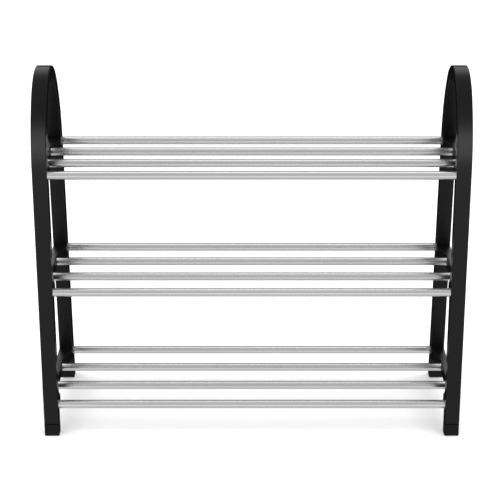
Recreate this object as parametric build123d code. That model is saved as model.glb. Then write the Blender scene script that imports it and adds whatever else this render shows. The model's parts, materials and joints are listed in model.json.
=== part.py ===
from build123d import *
import math
import os

# Tiered shoe rack: two inverted-U side frames of rectangular steel tube, three shelves of
# four aluminium tubes each, plastic side brackets between the legs, and plastic feet.
# Millimetres, +Z up, front towards -Y, origin on the floor under the rack's centre.

# ---- overall size ----
RACK_WIDTH = 501.0          # outer face to outer face of the side frames
RACK_HEIGHT = 435.5
FOOT_HALF_DEPTH = 87.2      # middle of the rack to the outside of a foot, at the floor
LEG_SLOPE = 0.040           # how far a leg leans in for each millimetre of height

# ---- side frame tube ----
BAND_WIDTH = 17.5           # along X
BAND_DEPTH = 14.5           # across the leg, in the frame's own plane
WALL = 1.0
CORNER_RADIUS = 1.0
CROWN_RADIUS = 57.0         # outside radius of the arch's crown
CROWN_HALF_ANGLE = 55.0     # the crown arc runs this far each side of the top

# ---- feet ----
FOOT_HEIGHT = 16.0
FOOT_PLUG_LENGTH = 16.0
FOOT_PLUG_GAP = 0.15
FOOT_EDGE_RADIUS = 0.4
SEAM_HEIGHT = 1.2
SEAM_DEPTH = 1.6

# ---- shelves: name, height of the tube axes, middle of the rack to the outer tubes ----
TIERS = [
    ("bottom", 38.1, 77.0),
    ("middle", 183.1, 74.2),
    ("top", 325.6, 68.5),
]
TUBE_DIAMETER = 10.0
TUBE_WALL = 0.8
INNER_TUBE_SHARE = 1.0 / 3.0     # inner tubes stand at this share of the outer tubes' distance

# ---- brackets ----
BRACKET_HEIGHT = 13.0
BRACKET_FACE_GAP = 0.4           # bracket's outer face behind the frame's outer face
BAR_THICKNESS = 9.1              # the slim middle stretch
FLARE_RADIUS = 80.0              # hollow curve from the slim bar out to the full width
PAD_LENGTH = 10.0                # full-width stretch beside each leg
BRACKET_EDGE_RADIUS = 0.8
TONGUE_WIDTH = 12.0
TONGUE_HEIGHT = 8.0
TONGUE_LENGTH = 12.0             # from the leg's face into the hollow leg
SLOT_GAP = 0.1
SOCKET_DEPTH = 1.5
SOCKET_GAP = 0.1
SPIGOT_LENGTH = 14.0
SPIGOT_GAP = 0.1

# ---- screws and the threaded plugs in the outer tubes ----
SCREW_RADIUS = 2.0
SCREW_LENGTH = 28.0
SCREW_HEAD_RADIUS = 4.0
SCREW_HEAD_HEIGHT = 2.0
SCREW_CLEARANCE = 0.2
HEX_KEY_SIZE = 2.5
HEX_KEY_DEPTH = 1.5
PLUG_LENGTH = 18.0
PLUG_GAP = 0.02
THREAD_GAP = 0.02

# ---- worked out from the above ----
HALF_WIDTH = RACK_WIDTH / 2
FRAME_INNER_X = HALF_WIDTH - BAND_WIDTH
FRAME_MID_X = HALF_WIDTH - BAND_WIDTH / 2
BRACKET_OUTER_X = HALF_WIDTH - BRACKET_FACE_GAP
BAR_INNER_X = BRACKET_OUTER_X - BAR_THICKNESS
TUBE_RADIUS = TUBE_DIAMETER / 2
TUBE_BORE_RADIUS = TUBE_RADIUS - TUBE_WALL
LEG_STRETCH = math.hypot(1.0, LEG_SLOPE)     # inset across a leg, measured along Y
SIDES = [("left", -1), ("right", 1)]
ENDS = [("front", -1), ("rear", 1)]
ALONG_X = Plane(origin=(0, 0, 0), x_dir=(0, 1, 0), z_dir=(1, 0, 0))


def leg_y(z, inset=0.0):
    """Distance of a leg's surface from the middle of the rack, inset from its outside."""
    return FOOT_HALF_DEPTH - LEG_SLOPE * z - inset * LEG_STRETCH


def shoulder_radius():
    """Outside radius of the arc that joins the crown to the straight leg, tangent to both."""
    phi = math.radians(CROWN_HALF_ANGLE)
    reach = math.sin(phi) + LEG_SLOPE * math.cos(phi)
    crown_line = leg_y(RACK_HEIGHT - CROWN_RADIUS)
    return (crown_line - CROWN_RADIUS * reach) / (LEG_STRETCH - reach)


def arch_face(inset, bottom):
    """The filled inverted U in the YZ plane, inset from the frame's outline."""
    phi = math.radians(CROWN_HALF_ANGLE)
    lean = math.atan(LEG_SLOPE)
    crown_z = RACK_HEIGHT - CROWN_RADIUS
    shoulder = shoulder_radius()
    shift = CROWN_RADIUS - shoulder
    shoulder_y = shift * math.sin(phi)
    shoulder_z = crown_z + shift * math.cos(phi)

    def on_crown(angle):
        radius = CROWN_RADIUS - inset
        return (radius * math.sin(angle), crown_z + radius * math.cos(angle))

    def on_shoulder(angle, side):
        radius = shoulder - inset
        y = shoulder_y + radius * math.cos(angle)
        return (side * y, shoulder_z + radius * math.sin(angle))

    middle = (lean + math.pi / 2 - phi) / 2
    foot = (leg_y(bottom, inset), bottom)
    edges = [ThreePointArc(on_crown(-phi), on_crown(0), on_crown(phi))]
    for side in (1, -1):
        leg_top = on_shoulder(lean, side)
        edges.append(ThreePointArc(on_crown(side * phi), on_shoulder(middle, side), leg_top))
        edges.append(Line(leg_top, (side * foot[0], bottom)))
    edges.append(Line((foot[0], bottom), (-foot[0], bottom)))
    return ALONG_X * make_face(edges)


def arch_band(outer_inset, inner_inset, bottom, width):
    """An inverted-U band of the given width along X, centred on the right side frame."""
    outer = extrude(arch_face(outer_inset, bottom), width / 2, both=True)
    inner = extrude(arch_face(inner_inset, bottom - 1), width / 2 + 1, both=True)
    return Pos(FRAME_MID_X, 0, 0) * (outer - inner)


def leg_block(outer_inset, inner_inset, low, high, width):
    """A stretch of the right rear leg between two heights, with plain sloping faces."""
    corners = [
        (leg_y(low, outer_inset), low),
        (leg_y(high, outer_inset), high),
        (leg_y(high, inner_inset), high),
        (leg_y(low, inner_inset), low),
    ]
    profile = ALONG_X * make_face(Polyline(*corners, close=True))
    return Pos(FRAME_MID_X, 0, 0) * extrude(profile, width / 2, both=True)


def rod(radius, x_from, x_to, y, z):
    """A round bar along X."""
    length = abs(x_to - x_from)
    return Pos((x_from + x_to) / 2, y, z) * Rot(0, 90, 0) * Cylinder(radius, length)


def screw_body(y, z, gap=0.0):
    """Countersunk screw through the leg, its head flush with the frame's outer face."""
    shank = rod(SCREW_RADIUS + gap, HALF_WIDTH - SCREW_LENGTH, HALF_WIDTH - 0.5, y, z)
    head = Cone(SCREW_RADIUS + gap, SCREW_HEAD_RADIUS + gap, SCREW_HEAD_HEIGHT)
    return shank + Pos(HALF_WIDTH - SCREW_HEAD_HEIGHT / 2, y, z) * Rot(0, 90, 0) * head


def screw(y, z):
    """The screw with its hexagon socket."""
    key = extrude(RegularPolygon(HEX_KEY_SIZE / 2, 6, major_radius=False), HEX_KEY_DEPTH + 1)
    recess = Pos(HALF_WIDTH - HEX_KEY_DEPTH, y, z) * Rot(0, 90, 0) * key
    return screw_body(y, z) - recess


def outer_tube_places():
    """Y and Z of each tube that is screwed to the legs."""
    return [(side * reach, z) for name, z, reach in TIERS for end, side in ENDS]


def side_frame():
    """Right side frame: bent rectangular tube with bracket slots and screw holes."""
    band = arch_band(0, BAND_DEPTH, FOOT_HEIGHT, BAND_WIDTH)
    long_edges = [
        edge for edge in band.edges()
        if edge.bounding_box().size.X < 0.01 and edge.bounding_box().max.Z > FOOT_HEIGHT + 0.01
    ]
    band = fillet(long_edges, CORNER_RADIUS)
    hollow = arch_band(WALL, BAND_DEPTH - WALL, FOOT_HEIGHT - 1, BAND_WIDTH - 2 * WALL)
    frame = band - hollow
    slot = Box(TONGUE_WIDTH + 2 * SLOT_GAP, 6, TONGUE_HEIGHT + 2 * SLOT_GAP)
    for name, z, reach in TIERS:
        for end, side in ENDS:
            frame -= Pos(FRAME_MID_X, side * leg_y(z, BAND_DEPTH), z) * slot
            frame -= screw_body(side * reach, z, SCREW_CLEARANCE)
    return frame


def foot():
    """Right rear foot: a block with the leg's outline, a seam, and a plug that fills the leg's end."""
    seam_low = FOOT_HEIGHT - SEAM_HEIGHT
    block = leg_block(0, BAND_DEPTH, 0, seam_low, BAND_WIDTH)
    block = fillet(block.edges().filter_by(Axis.Z, tolerance=5), CORNER_RADIUS)
    block = fillet(block.faces().sort_by(Axis.Z)[0].edges(), FOOT_EDGE_RADIUS)
    neck = leg_block(SEAM_DEPTH, BAND_DEPTH - SEAM_DEPTH, seam_low - 1, FOOT_HEIGHT,
                     BAND_WIDTH - 2 * SEAM_DEPTH)
    inset = WALL + FOOT_PLUG_GAP
    plug = leg_block(inset, BAND_DEPTH - inset, FOOT_HEIGHT - 1, FOOT_HEIGHT + FOOT_PLUG_LENGTH,
                     BAND_WIDTH - 2 * inset)
    return block + neck + plug


def bracket_plan(z):
    """Plan outline of the right bracket, run a little past the legs' faces."""
    end_y = leg_y(z - BRACKET_HEIGHT / 2, BAND_DEPTH) + 1
    pad_y = leg_y(z, BAND_DEPTH) - PAD_LENGTH
    rise = BAR_INNER_X - FRAME_INNER_X
    bar_y = pad_y - math.sqrt(2 * FLARE_RADIUS * rise - rise ** 2)
    turn = math.acos(1 - rise / FLARE_RADIUS) / 2
    edges = [Line((BRACKET_OUTER_X, -end_y), (BRACKET_OUTER_X, end_y))]
    for side in (1, -1):
        half_way = (
            BAR_INNER_X - FLARE_RADIUS * (1 - math.cos(turn)),
            side * (bar_y + FLARE_RADIUS * math.sin(turn)),
        )
        corner = (FRAME_INNER_X, side * pad_y)
        edges.append(Line((BRACKET_OUTER_X, side * end_y), (FRAME_INNER_X, side * end_y)))
        edges.append(Line((FRAME_INNER_X, side * end_y), corner))
        edges.append(ThreePointArc(corner, half_way, (BAR_INNER_X, side * bar_y)))
    edges.append(Line((BAR_INNER_X, bar_y), (BAR_INNER_X, -bar_y)))
    return make_face(edges)


def between_legs(low):
    """The space inside the inverted U above a height, as a solid, for fitting the brackets."""
    return Pos(FRAME_MID_X, 0, 0) * extrude(arch_face(BAND_DEPTH, low), BAND_WIDTH, both=True)


def bracket(z, reach):
    """Right bracket of one shelf, with tongues into the legs and sockets for the inner tubes."""
    low = z - BRACKET_HEIGHT / 2
    body = Pos(0, 0, low) * extrude(bracket_plan(z), BRACKET_HEIGHT)
    rims = body.faces().sort_by(Axis.Z)
    body = fillet(rims[0].edges() + rims[-1].edges(), BRACKET_EDGE_RADIUS)
    body = body & between_legs(low - 1)
    for end, side in ENDS:
        face_y = leg_y(z, BAND_DEPTH)
        tongue = Box(TONGUE_WIDTH, TONGUE_LENGTH + 2, TONGUE_HEIGHT)
        body += Pos(FRAME_MID_X, side * (face_y + TONGUE_LENGTH / 2 - 1), z) * tongue
        body -= screw_body(side * reach, z, SCREW_CLEARANCE)
        inner_y = side * reach * INNER_TUBE_SHARE
        floor_x = BAR_INNER_X + SOCKET_DEPTH
        body -= rod(TUBE_RADIUS + SOCKET_GAP, FRAME_INNER_X, floor_x, inner_y, z)
        body += rod(TUBE_BORE_RADIUS - SPIGOT_GAP, floor_x - SPIGOT_LENGTH, floor_x + 1, inner_y, z)
    return body


def shelf_tube(half_length, y, z):
    """One aluminium tube, lying along X."""
    outside = rod(TUBE_RADIUS, -half_length, half_length, y, z)
    return outside - rod(TUBE_BORE_RADIUS, -half_length - 1, half_length + 1, y, z)


def tube_plug(y, z):
    """Threaded plug in the right end of a screwed tube."""
    inner_x = FRAME_INNER_X - PLUG_LENGTH
    plug = rod(TUBE_BORE_RADIUS - PLUG_GAP, inner_x, FRAME_INNER_X, y, z)
    return plug - rod(SCREW_RADIUS + THREAD_GAP, inner_x - 1, FRAME_INNER_X + 1, y, z)


def on_side(shape, side):
    """The right-hand piece itself, or its mirror image for the left side."""
    return shape if side > 0 else mirror(shape, about=Plane.YZ)


def save(name, shape):
    export_step(shape, os.path.join("parts", name + ".step"))


def save_frames():
    frame = side_frame()
    for name, side in SIDES:
        save(name + "_side_frame", on_side(frame, side))


def save_feet():
    rear = foot()
    for side_name, side in SIDES:
        for end_name, end in ENDS:
            piece = rear if end > 0 else mirror(rear, about=Plane.XZ)
            save(side_name + "_" + end_name + "_foot", on_side(piece, side))


def save_brackets():
    for tier_name, z, reach in TIERS:
        piece = bracket(z, reach)
        for side_name, side in SIDES:
            save(side_name + "_" + tier_name + "_bracket", on_side(piece, side))


def save_tubes():
    inner_half_length = BAR_INNER_X + SOCKET_DEPTH
    for tier_name, z, reach in TIERS:
        for end_name, end in ENDS:
            outer = shelf_tube(FRAME_INNER_X, end * reach, z)
            inner = shelf_tube(inner_half_length, end * reach * INNER_TUBE_SHARE, z)
            save(tier_name + "_" + end_name + "_tube", outer)
            save(tier_name + "_" + end_name + "_inner_tube", inner)


def save_fasteners():
    plugs = Compound(children=[tube_plug(y, z) for y, z in outer_tube_places()])
    screws = Compound(children=[screw(y, z) for y, z in outer_tube_places()])
    for name, side in SIDES:
        save(name + "_tube_plugs", on_side(plugs, side))
        save(name + "_screws", on_side(screws, side))


os.makedirs("parts", exist_ok=True)
save_frames()
save_feet()
save_brackets()
save_tubes()
save_fasteners()
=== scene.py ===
import json
import math

import bpy
from mathutils import Euler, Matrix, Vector

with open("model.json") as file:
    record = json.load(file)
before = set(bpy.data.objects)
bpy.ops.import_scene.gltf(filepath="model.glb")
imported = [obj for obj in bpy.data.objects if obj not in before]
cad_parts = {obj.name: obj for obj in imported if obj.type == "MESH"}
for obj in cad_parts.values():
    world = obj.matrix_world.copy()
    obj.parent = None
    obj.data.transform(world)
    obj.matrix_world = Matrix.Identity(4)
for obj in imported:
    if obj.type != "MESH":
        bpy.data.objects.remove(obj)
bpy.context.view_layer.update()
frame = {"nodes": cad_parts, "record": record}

# ---- camera: in front of the rack, looking down on it ----
FOCAL_LENGTHS_PER_SIDE = 2.890      # focal length as a share of the sensor's side
SENSOR_MM = 36.0
CAMERA_DISTANCE = 1.637
CAMERA_HEIGHT = 0.8426
CAMERA_PITCH = 21.2                 # degrees below the horizon
CAMERA_SHIFT_X = -0.0035
CLIP_NEAR = 0.05
CLIP_FAR = 50.0

# ---- finishes: colours are linear, noise scales are per metre, bump depths in metres ----
BLACK = ((0.0032, 0.0032, 0.0033), (0.0044, 0.0044, 0.0046))
DARK_GREY = ((0.05, 0.05, 0.05), (0.06, 0.06, 0.06))
SILVER = ((0.78, 0.78, 0.785), (0.84, 0.84, 0.845))
OXIDE = ((0.05, 0.05, 0.052), (0.09, 0.09, 0.093))

PAINT_SHEEN = 0.22                  # Specular IOR Level of the powder coat
PAINT_ROUGHNESS = (0.27, 0.33)
PAINT_CLOUD_SCALE = 22.0            # slow unevenness of colour and gloss
PEEL_SCALE = 1400.0                 # orange peel
PEEL_DEPTH = 0.00005
PEEL_STRENGTH = 0.25

MOULDING_SHEEN = 0.22
# Brackets get less sheen on their sides than on their tops: painted shade that darkens the sides.
BRACKET_TOP_SHEEN = 0.16
BRACKET_SIDE_SHEEN_PAINTED_SHADE = 0.05
BRACKET_ROUGHNESS = 0.42
FOOT_ROUGHNESS = 0.46
PLUG_ROUGHNESS = 0.5
MOULDING_ROUGHNESS_RANGE = 0.04     # either way
MOULDING_CLOUD_SCALE = 30.0
# Where tops end and sides begin, for the brackets' painted side shade.
TOP_FACING = 0.3                    # up to here a face counts as a top, from SIDE_FACING as a side
SIDE_FACING = 0.75
GRAIN_SCALE = 3200.0                # spark-eroded grain
GRAIN_DEPTH = 0.00004
GRAIN_STRENGTH = 0.35

TUBE_ROUGHNESS = (0.17, 0.25)
TUBE_CLOUD_SCALE = (6.0, 60.0, 60.0)
DRAW_LINE_SCALE = (4.0, 2600.0, 2600.0)     # long along the tube, fine across it
DRAW_LINE_DEPTH = 0.00002
DRAW_LINE_STRENGTH = 0.08

SCREW_ROUGHNESS = (0.34, 0.5)
SCREW_CLOUD_SCALE = 900.0
SCREW_PIT_DEPTH = 0.00003
SCREW_PIT_STRENGTH = 0.2

# ---- floor ----
FLOOR_HALF_SIDE = 8.0
FLOOR_COLOUR = (0.9, 0.9, 0.9, 1.0)
FLOOR_ROUGHNESS = 0.8

# ---- lights ----
WHITE = (1.0, 1.0, 1.0, 1.0)

# What the rack mirrors: round patches on an even surround. Azimuth 0 is straight ahead of the
# camera and positive to its right. Each patch has its full amount within one angle of its
# middle, and has faded to nothing at the other. All angles are in degrees.
SURROUND = 0.52
PATCHES = [
    # azimuth, elevation, full within, gone at, amount
    (0, 90, 15, 50, 0.14),         # ceiling
    (180, -12, 6, 24, 0.38),       # reflector, low in front
    (180, -62, 14, 48, 0.12),      # pale ground in front
    (0, 18, 8, 34, -0.30),         # dim wall behind
    (0, -22, 20, 40, -0.55),       # black card on the ground behind
    (-64, -25, 13, 30, -0.45),     # black card, left
    (64, -25, 13, 30, -0.45),      # black card, right
]

FLOOR_LIGHT_STRENGTH = 3.6
FLOOR_LIGHT_SPREAD = 100.0          # degrees: a very soft sky above

# Softboxes that each side of the rack has, in metres and watts. x counts outwards on that side.
SIDE_SOFTBOXES = {
    # name: place, target, size, power
    "front_softbox": ((0.42, -1.25, 0.62), (0.24, 0.0, 0.36), (0.5, 0.6), 3.4),
    "back_softbox": ((0.46, 1.1, 1.25), (0.24, 0.0, 0.43), (0.5, 0.9), 1.5),
    "low_back_softbox": ((0.43, 1.15, 0.67), (0.24, 0.0, 0.2), (0.5, 0.45), 3.6),
    "edge_softbox": ((0.8, -0.3, 0.15), (-0.24, 0.0, 0.3), (0.5, 0.5), 3.0),
}

# A long strip overhead, mirrored as the bright line along the top of each tube.
STRIP = ((0.0, 0.35, 2.0), (0.0, 0.0, 0.2), (2.4, 0.5), 3.6)


def make_camera():
    data = bpy.data.cameras.new("camera")
    data.sensor_width = SENSOR_MM
    data.lens = FOCAL_LENGTHS_PER_SIDE * SENSOR_MM
    data.shift_x = CAMERA_SHIFT_X
    data.clip_start = CLIP_NEAR
    data.clip_end = CLIP_FAR
    camera = bpy.data.objects.new("camera", data)
    bpy.context.collection.objects.link(camera)
    camera.location = (0.0, -CAMERA_DISTANCE, CAMERA_HEIGHT)
    camera.rotation_euler = Euler((math.radians(90.0 - CAMERA_PITCH), 0.0, 0.0))
    bpy.context.scene.camera = camera


# ---- materials ----
class Nodes:
    """A short way to write a material's node tree."""

    def __init__(self, name):
        self.material = bpy.data.materials.new(name)
        self.material.use_nodes = True
        self.tree = self.material.node_tree
        self.tree.nodes.clear()
        self.shader = self.add("ShaderNodeBsdfPrincipled")
        out = self.add("ShaderNodeOutputMaterial")
        self.link(self.shader.outputs["BSDF"], out.inputs["Surface"])
        place = self.add("ShaderNodeTexCoord")
        self.coords = place.outputs["Object"]
        self.facing = place.outputs["Normal"]

    def add(self, kind, **settings):
        node = self.tree.nodes.new(kind)
        for name, value in settings.items():
            setattr(node, name, value)
        return node

    def link(self, source, target):
        self.tree.links.new(source, target)

    def stretched(self, scale):
        """The object's coordinates, in metres, scaled along each axis."""
        mapping = self.add("ShaderNodeMapping")
        mapping.inputs["Scale"].default_value = scale
        self.link(self.coords, mapping.inputs["Vector"])
        return mapping.outputs["Vector"]

    def noise(self, vector, scale, detail=2.0, roughness=0.5):
        node = self.add("ShaderNodeTexNoise")
        node.inputs["Scale"].default_value = scale
        node.inputs["Detail"].default_value = detail
        node.inputs["Roughness"].default_value = roughness
        self.link(vector, node.inputs["Vector"])
        return node.outputs["Fac"]

    def spread(self, value, low, high, from_low=0.3, from_high=0.7):
        """The value, which lies mostly between from_low and from_high, taken to low..high."""
        node = self.add("ShaderNodeMapRange")
        node.inputs["From Min"].default_value = from_low
        node.inputs["From Max"].default_value = from_high
        node.inputs["To Min"].default_value = low
        node.inputs["To Max"].default_value = high
        self.link(value, node.inputs["Value"])
        return node.outputs["Result"]

    def colours(self, value, dark, light):
        ramp = self.add("ShaderNodeValToRGB")
        ramp.color_ramp.elements[0].position = 0.3
        ramp.color_ramp.elements[1].position = 0.7
        ramp.color_ramp.elements[0].color = (*dark, 1.0)
        ramp.color_ramp.elements[1].color = (*light, 1.0)
        self.link(value, ramp.inputs["Fac"])
        return ramp.outputs["Color"]

    def sideways(self):
        """How far the surface faces along the width of the rack, 0 to 1."""
        split = self.add("ShaderNodeSeparateXYZ")
        self.link(self.facing, split.inputs[0])
        size = self.add("ShaderNodeMath", operation="ABSOLUTE")
        self.link(split.outputs["X"], size.inputs[0])
        return size.outputs[0]

    def bump(self, height, strength, distance):
        node = self.add("ShaderNodeBump")
        node.inputs["Strength"].default_value = strength
        node.inputs["Distance"].default_value = distance
        self.link(height, node.inputs["Height"])
        return node.outputs["Normal"]

    def set(self, name, value):
        socket = self.shader.inputs[name]
        if isinstance(value, bpy.types.NodeSocket):
            self.link(value, socket)
        else:
            socket.default_value = value


def powder_coat():
    """Satin black powder coat: fine orange peel, with a little unevenness in its gloss."""
    n = Nodes("satin_black_powder_coat")
    peel = n.noise(n.coords, PEEL_SCALE, 2.0)
    cloud = n.noise(n.coords, PAINT_CLOUD_SCALE, 3.0)
    n.set("Base Color", n.colours(cloud, *BLACK))
    n.set("Specular IOR Level", PAINT_SHEEN)
    n.set("Roughness", n.spread(cloud, *PAINT_ROUGHNESS))
    n.set("Normal", n.bump(peel, PEEL_STRENGTH, PEEL_DEPTH))
    return n.material


def moulded_plastic(name, shades, rough, top_sheen=MOULDING_SHEEN, side_sheen_painted_shade=MOULDING_SHEEN):
    """Moulded plastic with a fine grain. Its sides may get less sheen than its top, which is
    painted shade on the sides.
    """
    n = Nodes(name)
    grain = n.noise(n.coords, GRAIN_SCALE, 3.0, 0.6)
    cloud = n.noise(n.coords, MOULDING_CLOUD_SCALE, 2.0)
    # Sheen falls from top to sides. On the brackets this paints shade on the sides.
    sheen_with_painted_side_shade = n.spread(n.sideways(), top_sheen, side_sheen_painted_shade, TOP_FACING, SIDE_FACING)
    smooth = rough - MOULDING_ROUGHNESS_RANGE
    coarse = rough + MOULDING_ROUGHNESS_RANGE
    n.set("Base Color", n.colours(cloud, *shades))
    n.set("Specular IOR Level", sheen_with_painted_side_shade)
    n.set("Roughness", n.spread(cloud, smooth, coarse))
    n.set("Normal", n.bump(grain, GRAIN_STRENGTH, GRAIN_DEPTH))
    return n.material


def satin_aluminium():
    """Drawn and anodised aluminium tube: fine lines along its length."""
    n = Nodes("satin_aluminium")
    lines = n.noise(n.stretched(DRAW_LINE_SCALE), 1.0, 3.0, 0.6)
    cloud = n.noise(n.stretched(TUBE_CLOUD_SCALE), 1.0, 2.0)
    n.set("Base Color", n.colours(cloud, *SILVER))
    n.set("Metallic", 1.0)
    n.set("Roughness", n.spread(lines, *TUBE_ROUGHNESS))
    n.set("Normal", n.bump(lines, DRAW_LINE_STRENGTH, DRAW_LINE_DEPTH))
    return n.material


def black_screw_steel():
    """Black-oxidised steel."""
    n = Nodes("black_oxide_steel")
    cloud = n.noise(n.coords, SCREW_CLOUD_SCALE, 3.0)
    n.set("Base Color", n.colours(cloud, *OXIDE))
    n.set("Metallic", 1.0)
    n.set("Roughness", n.spread(cloud, *SCREW_ROUGHNESS))
    n.set("Normal", n.bump(cloud, SCREW_PIT_STRENGTH, SCREW_PIT_DEPTH))
    return n.material


def material_for_slots():
    # The brackets' sides are darkened by a lower sheen: painted shade.
    brackets = moulded_plastic("bracket_plastic", BLACK, BRACKET_ROUGHNESS,
                               BRACKET_TOP_SHEEN, BRACKET_SIDE_SHEEN_PAINTED_SHADE)
    return {
        "frame_paint": powder_coat(),
        "tube_aluminium": satin_aluminium(),
        "bracket_plastic": brackets,
        "foot_plastic": moulded_plastic("foot_plastic", BLACK, FOOT_ROUGHNESS),
        "plug_plastic": moulded_plastic("plug_plastic", DARK_GREY, PLUG_ROUGHNESS),
        "screw_steel": black_screw_steel(),
    }


def dress_nodes():
    materials = material_for_slots()
    slots = {part["node"]: part["material_slot"] for part in frame["record"]["subparts"]}
    for name, piece in frame["nodes"].items():
        for slot in piece.material_slots:
            slot.material = materials[slots[name]]


# ---- floor ----
def make_floor():
    """A pale floor. The rack doesn't mirror it: the patches stand in for what is around."""
    mesh = bpy.data.meshes.new("floor")
    side = FLOOR_HALF_SIDE
    corners = [(-side, -side, 0), (side, -side, 0), (side, side, 0), (-side, side, 0)]
    mesh.from_pydata(corners, [], [(0, 1, 2, 3)])
    floor = bpy.data.objects.new("floor", mesh)
    bpy.context.collection.objects.link(floor)
    n = Nodes("pale_floor")
    n.set("Base Color", FLOOR_COLOUR)
    n.set("Roughness", FLOOR_ROUGHNESS)
    mesh.materials.append(n.material)
    floor.visible_glossy = False
    return floor


# ---- lights ----
def heading(azimuth, elevation):
    a = math.radians(azimuth)
    e = math.radians(elevation)
    return (math.sin(a) * math.cos(e), math.cos(a) * math.cos(e), math.sin(e))


def patch_strength(tree, direction, azimuth, elevation, full, gone, amount):
    dot = tree.nodes.new("ShaderNodeVectorMath")
    dot.operation = "DOT_PRODUCT"
    dot.inputs[1].default_value = heading(azimuth, elevation)
    tree.links.new(direction, dot.inputs[0])
    fade = tree.nodes.new("ShaderNodeMapRange")
    fade.interpolation_type = "SMOOTHSTEP"
    fade.inputs["From Min"].default_value = math.cos(math.radians(gone))
    fade.inputs["From Max"].default_value = math.cos(math.radians(full))
    fade.inputs["To Max"].default_value = amount
    tree.links.new(dot.outputs["Value"], fade.inputs["Value"])
    return fade.outputs["Result"]


def calculate(tree, operation, first, second):
    node = tree.nodes.new("ShaderNodeMath")
    node.operation = operation
    tree.links.new(first, node.inputs[0])
    if isinstance(second, float):
        node.inputs[1].default_value = second
    else:
        tree.links.new(second, node.inputs[1])
    return node.outputs[0]


def make_surroundings():
    """The patches, as light and in mirror images. Seen directly, the background is white."""
    world = bpy.data.worlds.new("studio")
    bpy.context.scene.world = world
    world.use_nodes = True
    tree = world.node_tree
    direction = tree.nodes.new("ShaderNodeTexCoord").outputs["Generated"]
    total = SURROUND
    for patch in PATCHES:
        total = calculate(tree, "ADD", patch_strength(tree, direction, *patch), total)
    total = calculate(tree, "MAXIMUM", total, 0.0)
    seen = tree.nodes.new("ShaderNodeLightPath").outputs["Is Camera Ray"]
    background = tree.nodes["Background"]
    background.inputs["Color"].default_value = WHITE
    tree.links.new(calculate(tree, "MAXIMUM", total, seen), background.inputs["Strength"])


def softbox(name, place, target, size, watts):
    data = bpy.data.lights.new(name, "AREA")
    data.shape = "RECTANGLE"
    data.size, data.size_y = size
    data.energy = watts
    lamp = bpy.data.objects.new(name, data)
    bpy.context.collection.objects.link(lamp)
    lamp.location = place
    aim = Vector(target) - Vector(place)
    lamp.rotation_euler = aim.to_track_quat("-Z", "Y").to_euler()
    lamp.visible_camera = False
    return lamp


def light_only(lamp, pieces):
    """The lamp reaches only these pieces; its shadows are still everyone's."""
    lit = bpy.data.collections.new("lit_by_" + lamp.name)
    for piece in pieces:
        lit.objects.link(piece)
    lamp.light_linking.receiver_collection = lit


def light_floor(floor):
    """Even, very soft light from above, for the floor alone."""
    data = bpy.data.lights.new("floor_light", "SUN")
    data.energy = FLOOR_LIGHT_STRENGTH
    data.angle = math.radians(FLOOR_LIGHT_SPREAD)
    lamp = bpy.data.objects.new("floor_light", data)
    bpy.context.collection.objects.link(lamp)
    light_only(lamp, [floor])


def nodes_named(start, end):
    """The modelled pieces whose node name starts and ends with these words."""
    return [piece for node, piece in frame["nodes"].items()
            if node.startswith(start) and node.endswith(end)]


def light_sides():
    """Softboxes for the arches and legs of the two side frames, and for the brackets' tops."""
    for name, side in (("left", -1), ("right", 1)):
        own_frame = nodes_named(name, "_side_frame")
        own_brackets = nodes_named(name, "_bracket")
        reached = {
            "front_softbox": own_frame,
            "back_softbox": own_frame + own_brackets,
            "low_back_softbox": own_brackets,
            "edge_softbox": nodes_named("", "_side_frame"),
        }
        for kind, (place, target, size, watts) in SIDE_SOFTBOXES.items():
            place = (side * place[0], *place[1:])
            target = (side * target[0], *target[1:])
            lamp = softbox(name + "_" + kind, place, target, size, watts)
            light_only(lamp, reached[kind])


def light_tubes():
    light_only(softbox("top_strip", *STRIP), nodes_named("", "_tube"))


def light_studio(floor):
    make_surroundings()
    light_floor(floor)
    light_sides()
    light_tubes()
    bpy.context.scene.view_settings.view_transform = "Standard"


make_camera()
dress_nodes()
light_studio(make_floor())
